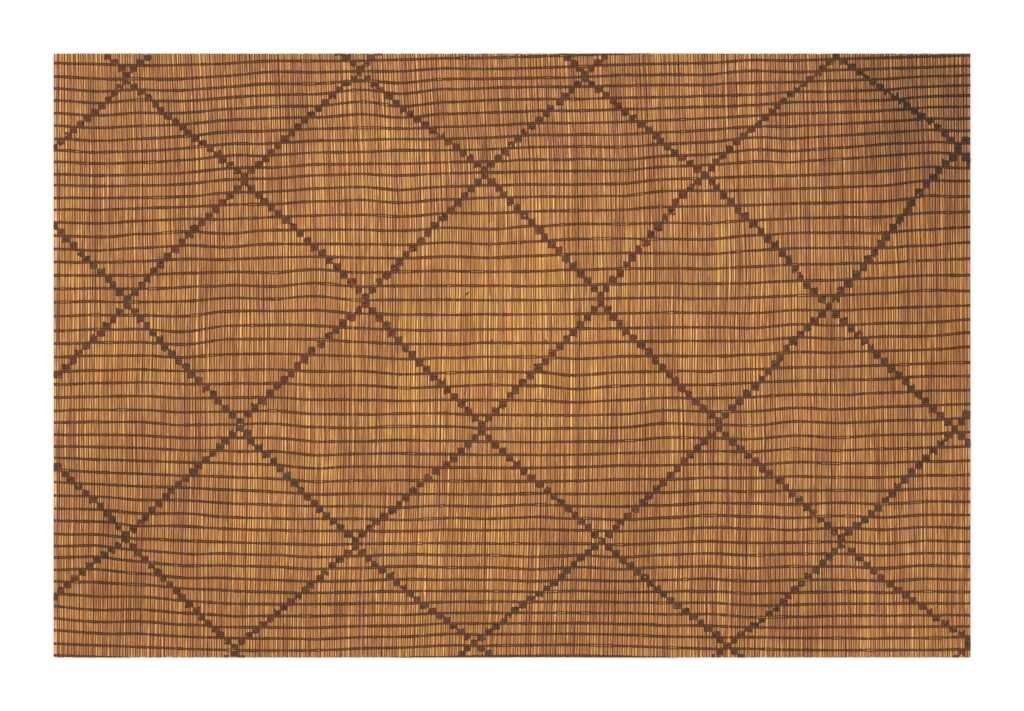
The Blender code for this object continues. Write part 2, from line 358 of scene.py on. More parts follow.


# A reed's section has six sides. Its rings lie at these places along it, from 0 to 1: one more just inside
# each end keeps the shading of its sides true up to the cut. Its thickness varies along it, and follows its
# width by THICK_BY_WIDTH, up to MOST_WIDE times the pitch. It lies at most MOST_HIGH times REED_HIGH_MM high
# or low. A dark line darkens the side beside it by SHADE_GRIME_BESIDE, as painted shade with some grime.
# Dark reeds are a small share of all.
REED_SIDES = 6
REED_RINGS = np.concatenate([[0, 0.001], np.linspace(0, 1, 12)[1:-1], [0.999, 1]])
THICKNESS_VARIES, THICK_BY_WIDTH, MOST_WIDE = 0.06, 0.3, 1.2
MOST_HIGH = 1.8
SHADE_GRIME_BESIDE = 0.3
DARK_SHARE, DARK_TONE = 0.05, -1.6

# How much the tone and the tint of a reed vary: from reed to reed, along it, and with its neighbours.
OWN_TONE, TONE_ALONG, TONE_SHARED = 0.3, 0.3, 0.9
OWN_TINT, TINT_ALONG = 0.5, 0.75


def reed_rings():
    """The reeds: six-sided rings, rounded by their shading, carried from the bottom edge to the top one. A
    ring reaches from one line of the reed to the other, and a little past them where reeds are pressed
    together. Each side of a reed carries how dark the line beside it is. Its tone and tint drift along it
    and with its neighbours, own tells it from the other reeds, and across runs from -1 on its left to 1."""
    cut = np.abs(rng.normal(size=(2, REED_COUNT, 1))) * REED_CUT_MM * MM
    t = REED_RINGS
    depth = MAT_LENGTH - cut[0] - (MAT_LENGTH - cut[0] - cut[1]) * t
    n = np.arange(REED_COUNT)[:, None]
    left = reed_edge(n, depth) - line_press[n]
    right = reed_edge(n + 1, depth) + line_press[n + 1]
    half = (right - left) / 2
    tall = REED_HALF_HEIGHT * (1 + THICKNESS_VARIES * along(rng.normal(size=(REED_COUNT, 6)), n, t))
    wideness = np.minimum(half / (REED_PITCH / 2), MOST_WIDE)
    tall = tall * (1 - THICK_BY_WIDTH + THICK_BY_WIDTH * wideness)
    high = np.clip(rng.normal(size=(REED_COUNT, 1)), -MOST_HIGH, MOST_HIGH)
    axis = REED_AXIS + REED_HIGH_MM * MM * high
    turn = 2 * math.pi * (np.arange(REED_SIDES) + 0.5) / REED_SIDES
    upness = np.cos(turn) / np.cos(turn[0])
    x = (left + half)[..., None] + half[..., None] * np.sin(turn)
    z = axis[..., None] + REED_FLATNESS * tall[..., None] * upness
    dark_reed = DARK_TONE * (rng.random((REED_COUNT, 1)) < DARK_SHARE)
    down = depth / MAT_LENGTH
    shade = dark_reed + OWN_TONE * rng.normal(size=(REED_COUNT, 1))
    shade = shade + TONE_ALONG * along(rng.normal(size=(REED_COUNT, 12)), n, t)
    shade = shade + TONE_SHARED * soft_field(rng.normal(size=(11, 190)), n / REED_COUNT, down)
    own = 100 * rng.random((REED_COUNT, 1, 1))
    tint = OWN_TINT * rng.normal(size=(REED_COUNT, 1))
    tint = tint + TINT_ALONG * along(rng.normal(size=(REED_COUNT, 7)), n, t)
    rightness = (1 + np.sin(turn)) / 2
    beside = (1 - rightness) * along(line_dark, n, down)[..., None]
    beside = beside + rightness * along(line_dark, n + 1, down)[..., None]
    looks = {
        "tone": shade[..., None],
        "tint": tint[..., None],
        "crown": upness - SHADE_GRIME_BESIDE * beside,
        "own": own,
        "across": np.sin(turn),
    }
    side_faces_up = np.cos(turn + math.pi / REED_SIDES) > 0
    bands = np.where(side_faces_up, 3, 1)
    return Batch(place(x, depth[..., None], z), looks, np.zeros(REED_COUNT), bands)


row_tone = rng.normal(size=(ROW_COUNT, 24))
row_dye = rng.normal(size=(ROW_COUNT, 12))
row_width = rng.normal(size=(ROW_COUNT, 60))
row_split = rng.normal(size=(ROW_COUNT, 84))
row_twist = rng.choice([-1.0, 1.0], size=(ROW_COUNT, 1, 1))
ROW_TINT = 0.12

# The stitches of a row: how far they slant and wander, how deep their belly lies, how much their width
# varies, and how far past a cut edge the middle of a row may lie and still show. A row opens into two
# strands as its own curve climbs from SPLIT_FROM by SPLIT_EASE: they stand SPLIT_APART_MM to each side and
# are narrower, and the second one shows where the split is more than LEAST_SPLIT of the full one.
STITCH_SLANT_MM = 0.12
STITCH_WANDER_MM = 0.06
STITCH_BELLY_MM = 0.25
WIDTH_VARIES = 0.08
ROW_SHOWS_PAST_MM = 0.9
SPLIT_FROM, SPLIT_EASE, LEAST_SPLIT = 1.35, 0.25, 0.05
SPLIT_APART_MM, SPLIT_NARROWER = 1.05, 0.58

# How much the tone of a row varies along it, how much it varies from stitch to stitch, and how much the tint
# of a row varies along it.
ROW_TONE_VARIES, STITCH_TONE_VARIES, ROW_TINT_VARIES = 0.3, 0.5, 0.1

# The crown value of a stitch, which makes its leather paler, and lower values darker with painted shade:
# that of its two sides, how much more its crown has and its belly less, and how much less it has where it
# is narrower, which paints shade into its dips between the reeds.
STITCH_CROWN, CROWN_MORE, NARROW_LESS = 0.5, 0.3, 4


def row_shade(row, u):
    """Tone and tint of the leather of a row, at u from 0 to 1 across the mat."""
    return ROW_TONE_VARIES * along(row_tone, row, u), ROW_TINT + ROW_TINT_VARIES * along(row_dye, row, u)


def row_stitches(t, rise, heights, widths, face, split_side):
    """The stitches of every row that pass over one face of the mat: one for each pair of reeds. Each is a
    strip from the line before the pair to the line after it, a little aslant, low at its ends where it dives
    between the reeds. t, rise, heights and widths are its stations. Where a row is split, split_side 1 or -1
    gives its lower or upper strand."""
    row = np.arange(ROW_COUNT)[:, None, None]
    pair = np.arange(PAIR_COUNT)[None, :, None]
    about = thong_depth(row, PANEL_LEFT + (2 * pair + 1) * REED_PITCH)
    inside = np.clip(about, 0, MAT_LENGTH)
    left = reed_edge(2 * pair, inside)
    right = reed_edge(2 * pair + 2, inside)
    x = left + (right - left) * t
    u = x / MAT_WIDTH
    split = (along(row_split, row, u[:, :, 2:3]) - SPLIT_FROM) / SPLIT_EASE
    split = np.clip(split, 0, 1) * (face > 0)
    slant = STITCH_SLANT_MM * MM * face * row_twist * (1 - 2 * t) * (1 - split)
    depth = row_depth(row, x) + slant + split_side * split * SPLIT_APART_MM * MM
    each = rng.normal(size=(ROW_COUNT, PAIR_COUNT, 1))
    width = THONG_HALF_WIDTH * (1 + WIDTH_VARIES * along(row_width, row, u) + WIDTH_VARIES * each)
    width = width * widths * (1 - SPLIT_NARROWER * split)
    wander = STITCH_WANDER_MM * MM * rng.normal(size=depth.shape)
    rings = strips(x, depth + wander, heights, width, rise, STITCH_BELLY_MM * MM, face)
    shows_past = ROW_SHOWS_PAST_MM * MM
    kept = (about > -shows_past) & (about < MAT_LENGTH + shows_past)
    if split_side > 0:
        kept = kept & (split > LEAST_SPLIT)
    tone, dye = row_shade(row, u)
    tone = tone + STITCH_TONE_VARIES * rng.normal(size=(ROW_COUNT, PAIR_COUNT, 1))
    dent = NARROW_LESS * (widths.max() - widths)[:, None]
    crown = STITCH_CROWN + CROWN_MORE * CROWN_OF_STRIP - dent
    looks = {"tone": tone[..., None], "tint": dye[..., None], "crown": crown}
    return kept_strips(rings, looks, row[..., 0], kept[..., 0], FRONT_BANDS if face > 0 else BACK_BANDS)


def front_stitches(split_side):
    """Stitches over the reeds, with a dent over the groove between the two reeds of a pair."""
    t = np.array([0, 0.25, 0.5, 0.75, 1])
    heights = np.array([3.6, 3.85, 3.4, 3.85, 3.6]) * MM
    widths = np.array([0.84, 0.96, 0.69, 0.96, 0.84])
    rise = np.array([0.36, 0.42, 0.3, 0.42, 0.36]) * MM
    return row_stitches(t, rise, heights, widths, 1, split_side)


def back_stitches():
    """Stitches under the reeds, flat where the mat lies on them."""
    t = np.array([0, 0.3, 0.7, 1])
    heights = np.array([1.45, 0.75, 0.75, 1.45]) * MM
    widths = np.array([0.7, 1, 1, 0.7])
    rise = np.array([0.3, 0.5, 0.5, 0.3]) * MM
    return row_stitches(t, rise, heights, widths, -1, -1)


# How far past the left and right edges the middle of a block may lie.
BLOCK_OFF_MAT = 0.01


def lattice_lines():
    """Each stretch of a line of blocks, from a crossing down to one in the next level: its steps, and the
    middles of its blocks, evenly spaced between the two."""
    for level, next_level in zip(CROSSINGS, CROSSINGS[1:]):
        for start, x in level:
            on_the_left = [crossing for crossing in next_level if crossing[1] < x][-1:]
            on_the_right = [crossing for crossing in next_level if crossing[1] > x][:1]
            for stop, far_x in on_the_left + on_the_right:
                steps = np.arange(math.ceil(start), math.floor(stop) + 1)
                middles = np.interp(steps, (steps[0], steps[-1]), (x, far_x)) * MM
                inside = (steps >= -2) & (steps < 2 * ROW_COUNT)
                inside &= (middles > -BLOCK_OFF_MAT) & (middles < MAT_WIDTH + BLOCK_OFF_MAT)
                yield steps[inside], middles[inside]


# More than all the reeds or steps, to make one number of two.
MANY = 1000


def lattice_cells():
    """The reeds that the blocks cover, as arrays of step, reed and line: a block covers three reeds about
    its middle, moved by the lean so that it stays in its place on the mat. A reed that two lines cover at
    one step is listed once."""
    steps, reeds, lines = [], [], []
    for number, (line_steps, middles) in enumerate(lattice_lines()):
        inside = np.clip(middles, 0, MAT_WIDTH)
        depth = np.clip(thong_depth((line_steps + 1) // 2, inside), 0, MAT_LENGTH)
        straight = middles - lean(inside, depth) - PANEL_LEFT
        first = np.round(straight / REED_PITCH - BLOCK_REEDS / 2).astype(int)
        for k in range(BLOCK_REEDS):
            on_mat = (first + k >= 0) & (first + k < REED_COUNT)
            steps.append(line_steps[on_mat])
            reeds.append((first + k)[on_mat])
            lines.append(np.full(on_mat.sum(), number))
    steps, reeds, lines = (np.concatenate(a) for a in (steps, reeds, lines))
    _, first_use = np.unique(steps * MANY + reeds, return_index=True)
    return steps[first_use], reeds[first_use], lines[first_use]


# The strips of a block: where it starts, as a share of the half width of its row, how ragged its outer edge
# is, the gap left half way to the next row, its least height, the height of one strip, the share that is
# missing, how far past a cut edge a strip may lie and still show, how far it reaches past its reed and how
# much that varies, how far it slants, wanders and lies high or low, how deep its belly is, and how much
# wider than its share of the block it is.
BLOCK_START = 0.7
BLOCK_RAGGED_MM = 0.45
BLOCK_GAP_MM = 0.1
BLOCK_LEAST_MM = 0.6
BLOCK_STRIP_MM = 1.95
BLOCK_MISSING = 0.02
BLOCK_SHOWS_PAST_MM = 0.6
BLOCK_PAST_MM, PAST_VARIES_MM = 0.1, 0.2
BLOCK_SLANT_MM = 0.2
BLOCK_WANDER_MM = 0.15
BLOCK_HIGH_MM = 0.08
BLOCK_BELLY_MM = 0.3
BLOCK_OVERLAP = 1.5

# The tint of the blocks, how much it varies from block to block and from line to line, their tone, how much
# that varies from block to block and from strip to strip, and the crown value of a strip's corners, which
# leaves its sides and belly a little darker with painted shade.
BLOCK_TINT, BLOCK_TINT_VARIES, LINE_TINT_VARIES = 0.1, 0.2, 0.15
BLOCK_TONE, BLOCK_TONE_VARIES, STRIP_TONE_VARIES = -0.4, 0.3, 1.0
BLOCK_CROWN = 0.45 + 0.35 * CROWN_OF_STRIP


def block_stitches():
    """The blocks: over each reed of a block short strips of leather, one beside the next, fill the space
    from the edge of the row to half way to the next row."""
    steps, reeds, lines = lattice_cells()
    side = np.where(steps % 2 == 0, 1, -1)
    row = (steps + 1) // 2
    about = PANEL_LEFT + (reeds + 0.5) * REED_PITCH
    row_near = np.clip(row, -1, ROW_COUNT)
    row_far = np.clip(row + side, -1, ROW_COUNT)
    start = row_depth(row_near, about) + side * THONG_HALF_WIDTH * BLOCK_START
    halfway = (row_depth(row_near, about) + row_depth(row_far, about)) / 2
    ragged = BLOCK_RAGGED_MM * MM * rng.normal(size=len(row))
    tip = halfway - side * BLOCK_GAP_MM * MM + ragged
    tall = np.maximum(np.abs(tip - start), BLOCK_LEAST_MM * MM)
    count = np.maximum(np.round(tall / (BLOCK_STRIP_MM * MM)), 1)
    most = int(count.max())
    q = np.arange(most)[None, :]
    kept = (q < count[:, None]) & (rng.random((len(row), most)) > BLOCK_MISSING)
    middle = start[:, None] + (tip - start)[:, None] * (q + 0.5) / count[:, None]
    shows_past = BLOCK_SHOWS_PAST_MM * MM
    kept &= (middle > -shows_past) & (middle < MAT_LENGTH + shows_past)
    t = np.array([0, 0.5, 1])
    inside = np.clip(middle, 0, MAT_LENGTH)[..., None]
    left = reed_edge(reeds[:, None, None], inside)
    right = reed_edge(reeds[:, None, None] + 1, inside)
    past = (BLOCK_PAST_MM + PAST_VARIES_MM * rng.normal(size=(2, *middle.shape, 1))) * MM
    x = left - past[0] + (right - left + past[0] + past[1]) * t
    slant = BLOCK_SLANT_MM * MM * rng.normal(size=middle.shape)[..., None] * (1 - 2 * t)
    depth = middle[..., None] + slant + BLOCK_WANDER_MM * MM * rng.normal(size=x.shape)
    heights = np.array([3.6, 3.9, 3.6]) * MM
    heights = heights + BLOCK_HIGH_MM * MM * rng.normal(size=middle.shape)[..., None]
    widths = np.array([0.86, 1, 0.86])
    rise = np.array([0.12, 0.2, 0.12]) * MM
    half = (tall / count / 2 * BLOCK_OVERLAP)[:, None, None] * widths
    rings = strips(x, depth, heights, half, rise, BLOCK_BELLY_MM * MM, 1)
    block = lines * MANY + steps - steps.min()
    names, which = np.unique(block, return_inverse=True)
    block_dye = rng.normal(size=len(names))
    line_dye = rng.normal(size=lines.max() + 1)
    dye = BLOCK_TINT + BLOCK_TINT_VARIES * block_dye[which] + LINE_TINT_VARIES * line_dye[lines]
    block_tone = rng.normal(size=len(names))
    tone = BLOCK_TONE + BLOCK_TONE_VARIES * block_tone[which][:, None]
    tone = tone + STRIP_TONE_VARIES * rng.normal(size=kept.shape)
    looks = {"tone": tone[..., None, None], "tint": dye[:, None, None, None], "crown": BLOCK_CROWN}
    return kept_strips(rings, looks, np.clip(row, 0, ROW_COUNT - 1)[:, None], kept, FRONT_BANDS)


# The turn of a thong: the angles of its points from straight up, how far from the reed's middle they lie at
# its front and back, how far past the reed they reach at its side, its width as a share of a stitch's, and
# how far its ridge stands out and its belly lies in.
TURN_DEGREES = (-10, 25, 60, 90, 120, 155, 190)
TURN_NEAR_MM = 1.32
TURN_PAST_MM = 0.04
TURN_WIDTH = 0.95
TURN_RIDGE_MM, TURN_BELLY_MM = 0.16, 0.2


def turns(right_side):
    """The turn of each row round the outermost reed: a strip bent over it from its front to its back, as
    points at angles about the reed's middle, close to it at the front and the back and farther out at its
    side, where it reaches a little past the reed."""
    row = np.arange(ROW_COUNT)[:, None]
    reed = REED_COUNT - 0.5 if right_side else 0.5
    middle = PANEL_LEFT + reed * REED_PITCH
    angle = np.radians(TURN_DEGREES)
    near = TURN_NEAR_MM * MM
    reach = REED_PITCH / 2 + EDGE_REED_EXTRA + TURN_PAST_MM * MM
    radius = np.array([near, near, near, reach, reach, near, near])
    out_x = np.sin(angle) * (1 if right_side else -1)
    out_z = np.cos(angle)
    if not right_side:
        out_x, out_z, radius = out_x[::-1], out_z[::-1], radius[::-1]
    depth = row_depth(row, np.full_like(row, middle, float))
    x = middle + out_x * radius
    z = REED_AXIS + out_z * radius
    half = THONG_HALF_WIDTH * TURN_WIDTH
    corners = ((0, -half), (TURN_RIDGE_MM * MM, 0), (0, half), (-TURN_BELLY_MM * MM, 0))
    rings = np.stack(
        [
            place(x + out * out_x, np.clip(depth + aside, 0, MAT_LENGTH), z + out * out_z)
            for out, aside in corners
        ],
        -2,
    )
    kept = (depth[:, 0] > 0) & (depth[:, 0] < MAT_LENGTH)
    tone, dye = row_shade(row, np.full(row.shape, float(right_side)))
    looks = {"tone": tone[..., None], "tint": dye[..., None], "crown": CROWN_OF_STRIP}
    return kept_strips(rings, looks, row[:, 0], kept, FRONT_BANDS)


def scraps():
    """Scraps of leather on the reeds: short straight strips that narrow towards both ends, each along its
    own direction."""
    from_left, middle, length, width, degrees = (column[:, None] for column in np.array(SCRAPS, float).T)
    t = np.array([-0.5, -0.2, 0.15, 0.5])
    across, down = np.cos(np.radians(degrees)), np.sin(np.radians(degrees))
    x = (from_left + length * across * t) * MM
    depth = (middle + length * down * t) * MM
    half = width / 2 * MM * np.array([0.45, 1, 0.85, 0.35])
    height_mm = 3.85
    corners = ((1, 0), (0, 0.3), (-1, 0), (0, -0.2))
    rings = np.stack(
        [place(x + s * half * down, depth - s * half * across, (height_mm + up) * MM) for s, up in corners],
        -2,
    )
    looks = {"tone": -1.0, "tint": -0.6, "crown": CROWN_OF_STRIP}
    row = np.abs(thong_depth(np.arange(ROW_COUNT)[None, :], from_left * MM) - middle * MM).argmin(1)
    return Batch(rings, looks, row, FRONT_BANDS)


# Materials


def from_screen(red, green, blue):
    """A colour from its 0 to 255 screen values to the linear ones that a shader takes."""
    values = np.array([red, green, blue]) / 255
    linear = np.where(values <= 0.04045, values / 12.92, ((values + 0.055) / 1.055) ** 2.4)
    return (*linear.tolist(), 1.0)


def put(tree, kind, inputs=None, **settings):
    """A node of a kind with its settings, and each of its inputs set to a value or linked to a socket."""
    made = tree.nodes.new(kind)
    for name, value in settings.items():
        setattr(made, name, value)
    for name, value in (inputs or {}).items():
        if isinstance(value, bpy.types.NodeSocket):
            tree.links.new(value, made.inputs[name])
        else:
            made.inputs[name].default_value = value
    return made


def maths(tree, operation, first, second=0.0, third=0.0):
    """The result of one sum, product or the like of two or three values."""
    return put(tree, "ShaderNodeMath", {0: first, 1: second, 2: third}, operation=operation).outputs[0]


def summed(tree, start, *terms):
    """A start value plus each of some values times its amount."""
    for value, amount in terms:
        start = maths(tree, "MULTIPLY_ADD", value, amount, start)
    return start


def between(tree, value, low, high, to_low=0.0, to_high=1.0):
    """A value taken smoothly from the range low to high into another range, and held at its ends."""
    inputs = {"Value": value, 1: low, 2: high, 3: to_low, 4: to_high}
    made = put(tree, "ShaderNodeMapRange", inputs, interpolation_type="SMOOTHSTEP")
    return made.outputs["Result"]


def mixed(tree, blend, factor, first, second):
    """Two colours mixed."""
    made = put(tree, "ShaderNodeMix", data_type="RGBA", blend_type=blend)
    for socket, value in ((made.inputs[0], factor), (made.inputs[6], first), (made.inputs[7], second)):
        if isinstance(value, bpy.types.NodeSocket):
            tree.links.new(value, socket)
        else:
            socket.default_value = value
    return made.outputs[2]


def darkened(tree, colour, value):
    """A colour times a grey value."""
    grey = put(tree, "ShaderNodeCombineColor", {0: value, 1: value, 2: value}).outputs[0]
    return mixed(tree, "MULTIPLY", 1.0, colour, grey)


def ramp(tree, value, stops):
    """A colour from a row of colours, by a value from 0 to 1."""
    made = put(tree, "ShaderNodeValToRGB", {0: value})
    line = made.color_ramp.elements
    while len(line) < len(stops):
        line.new(0.5)
    for stop, (where, colour) in zip(line, stops):
        stop.position = where
        stop.color = colour
    return made.outputs[0]


def attribute(tree, name):
    """The value that each point of a piece carries under a name."""
    return put(tree, "ShaderNodeAttribute", attribute_name=name).outputs["Fac"]


def group(name, inputs, outputs):
    """An empty node group with its named sockets. Returns the group, its input node and its output node."""
    made = bpy.data.node_groups.new(name, "ShaderNodeTree")
    for socket, start in inputs.items():
        entry = made.interface.new_socket(socket, in_out="INPUT", socket_type="NodeSocketFloat")
        entry.default_value = start
    for socket in outputs:
        made.interface.new_socket(socket, in_out="OUTPUT", socket_type="NodeSocketFloat")
    return made, made.nodes.new("NodeGroupInput"), made.nodes.new("NodeGroupOutput")


def use_group(tree, made, values):
    """The output of a group placed in a material with its own values."""
    node = put(tree, "ShaderNodeGroup", node_tree=made)
    for name, value in values.items():
        if isinstance(value, bpy.types.NodeSocket):
            tree.links.new(value, node.inputs[name])
        else:
            node.inputs[name].default_value = value
    return node.outputs[0]


# Soft stains, and painted shade and light: distance from the left and depth of the middle, half width and
# half height, all in millimetres, and how much darker it is there (less than 0 is brighter). The stained
# corner and the broad darker places come first, then the broad brighter places, then the narrow dark and
# bright streaks down the reeds, which are painted shade and painted light of soft folds.
STAINS = (
    (880, 40, 110, 130, 0.38),
    (458, 20, 700, 70, 0.03),
    (110, 300, 60, 420, 0.05),
    (830, 330, 140, 420, 0.04),
    (458, 600, 520, 60, 0.06),
    (900, 270, 70, 170, 0.08),
    (725, 130, 40, 80, 0.06),
    (40, 420, 50, 50, 0.06),
    (650, 440, 50, 70, 0.05),
    (494, 110, 40, 40, 0.05),
    (860, 240, 70, 230, 0.08),
    (530, 15, 60, 40, 0.08),
    (60, 480, 90, 90, 0.09),
    (60, 550, 60, 50, 0.05),
    (560, 520, 90, 120, 0.08),
    (730, 560, 90, 70, 0.08),
    (180, 588, 50, 40, 0.06),
    (737, 530, 45, 45, 0.07),
    (585, 490, 45, 50, 0.03),
    (5, 230, 60, 230, -0.05),
    (840, 590, 70, 40, -0.06),
    (190, 220, 50, 80, -0.05),
    (340, 300, 50, 70, -0.05),
    (450, 270, 120, 120, -0.16),
    (660, 250, 80, 120, -0.08),
    (290, 150, 60, 90, -0.06),
    (35, 330, 60, 60, -0.09),
    (322, 150, 70, 80, -0.06),
    (281, 327, 40, 50, -0.06),
    (490, 265, 80, 60, -0.04),
    (400, 485, 70, 50, -0.12),
    (230, 478, 40, 40, -0.07),
    (243, 75, 9, 120, 0.09),
    (524, 150, 9, 170, 0.10),
    (597, 220, 8, 230, 0.13),
    (848, 200, 7, 230, 0.08),
    (41, 150, 8, 150, 0.10),
    (50, 450, 8, 130, 0.10),
    (412, 400, 8, 180, 0.10),
    (547, 60, 7, 100, -0.09),
    (452, 230, 7, 150, -0.09),
    (620, 470, 8, 150, -0.13),
    (373, 480, 8, 130, -0.10),
    (542, 370, 7, 90, -0.10),
    (390, 200, 6, 130, -0.08),
    (494, 420, 6, 170, -0.08),
)


def stains_and_shade_group():
    """Brightness of the mat's surface by its place: 1 less Amount times the sum of the stains and of the
    painted shade and light, each a soft-edged oval, and of a cloudy unevenness."""
    made, start, end = group("stains_and_painted_shade", {"Amount": 1.0}, ["Shade"])
    coords = put(made, "ShaderNodeTexCoord").outputs["Object"]
    total = None
    for from_left, depth, half_width, half_height, darker in STAINS:
        centre = (from_left * MM - MAT_WIDTH / 2, MAT_LENGTH / 2 - depth * MM, 0.0)
        off = put(made, "ShaderNodeVectorMath", {0: coords, 1: centre}, operation="SUBTRACT").outputs[0]
        scale = (1 / (half_width * MM), 1 / (half_height * MM), 0.0)
        off = put(made, "ShaderNodeVectorMath", {0: off, 1: scale}, operation="MULTIPLY").outputs[0]
        far = put(made, "ShaderNodeVectorMath", {0: off}, operation="LENGTH").outputs["Value"]
        spot = between(made, far, 0.0, 1.6, darker, 0.0)
        total = spot if total is None else maths(made, "ADD", total, spot)
    cloud = put(made, "ShaderNodeTexNoise", {"Vector": coords, "Scale": 26.0, "Detail": 3.0}).outputs["Fac"]
    total = maths(made, "ADD", total, between(made, cloud, 0.35, 0.65, -0.05, 0.05))
    shade = maths(made, "SUBTRACT", 1.0, maths(made, "MULTIPLY", total, start.outputs["Amount"]))
    made.links.new(shade, end.inputs["Shade"])
    return made


def grain_group():
    """Grain of a fibrous or pitted surface, from -1 to 1: noise on coordinates stretched by their own scale
    across and along the reeds. Another Layer gives another noise of the same kind."""
    start_values = {"Across": 1000.0, "Along": 1000.0, "Detail": 2.0, "Layer": 0.0}
    made, start, end = group("grain", start_values, ["Grain"])
    coords = put(made, "ShaderNodeTexCoord").outputs["Object"]
    across, lengthways = start.outputs["Across"], start.outputs["Along"]
    scale = put(made, "ShaderNodeCombineXYZ", {0: across, 1: lengthways, 2: across}).outputs[0]
    layer = start.outputs["Layer"]
    layer = put(made, "ShaderNodeCombineXYZ", {0: layer, 1: layer}).outputs[0]
    inputs = {0: coords, 1: scale, 2: layer}
    stretched = put(made, "ShaderNodeVectorMath", inputs, operation="MULTIPLY_ADD").outputs[0]
    inputs = {"Vector": stretched, "Scale": 1.0, "Detail": start.outputs["Detail"]}
    noise = put(made, "ShaderNodeTexNoise", inputs).outputs["Fac"]
    made.links.new(between(made, noise, 0.25, 0.75, -1.0, 1.0), end.inputs["Grain"])
    return made


def hollows_group():
    """1 on the crowns of a rounded surface and 0 in the hollows beside them, from the height on its section,
    broken up a little by a grain. The materials darken the hollows with it: painted shade, with some grime."""
    start_values = {"Crown": 0.0, "Hollow": 0.0, "Clear": 0.7, "Grain": 0.0, "Broken": 0.1}
    made, start, end = group("hollows", start_values, ["Mask"])
    broken, crown = start.outputs["Broken"], start.outputs["Crown"]
    height = maths(made, "MULTIPLY_ADD", start.outputs["Grain"], broken, crown)
    mask = between(made, height, start.outputs["Hollow"], start.outputs["Clear"])
    made.links.new(mask, end.inputs["Mask"])
    return made


STAINS_AND_SHADE = stains_and_shade_group()
GRAIN = grain_group()
HOLLOWS = hollows_group()


# Screen colours of dry reed and of old leather, each with its place on a ramp from 0 to 1.
REED_COLOURS = (
    (0.0, (114, 65, 31)),
    (0.25, (138, 84, 38)),
    (0.5, (163, 107, 50)),
    (0.75, (197, 141, 70)),
    (1.0, (242, 191, 106)),
)
LEATHER_COLOURS = (
    (0.0, (84, 71, 55)),
    (0.3, (95, 70, 49)),
    (0.55, (106, 67, 43)),
    (0.8, (116, 63, 41)),
    (1.0, (122, 59, 43)),
)
# The colours of the painted highlights along the reeds, and of pale scuffs.
STRAW_LINE_HIGHLIGHT_COLOUR = (240, 186, 88)
RIDGE_HIGHLIGHT_COLOUR = (243, 194, 104)
SCUFF_COLOUR = (186, 150, 122)

# What a reed's colour is multiplied by.
UNCHANGED = (1.0, 1.0, 1.0, 1.0)
YELLOW_REED = (1.05, 1.0, 0.74, 1.0)
PINKISH_REED = (1.0, 0.96, 1.22, 1.0)
BOTTOM_OF_MAT = (1.01, 1.0, 0.88, 1.0)
TOP_OF_MAT = (1.0, 1.0, 1.06, 1.0)
# In the grooves between the reeds: painted shade, with some grime.
GROOVE_SHADE_AND_GRIME = (0.66, 0.51, 0.43, 1.0)
# Darker and brighter places follow the stains and the painted shade and light of soft folds.
DARKER_PLACE = (1.06, 0.93, 0.68, 1.0)
BRIGHT_PLACE = (0.97, 1.05, 1.0, 1.0)


def screen_ramp(tree, value, stops):
    """A colour from a row of screen colours, by a value from 0 to 1."""
    return ramp(tree, value, [(where, from_screen(*colour)) for where, colour in stops])


def new_material(name):
    """A material, with its tree of nodes and its shader."""
    made = bpy.data.materials.new(name)
    made.use_nodes = True
    return made, made.node_tree, made.node_tree.nodes["Principled BSDF"]


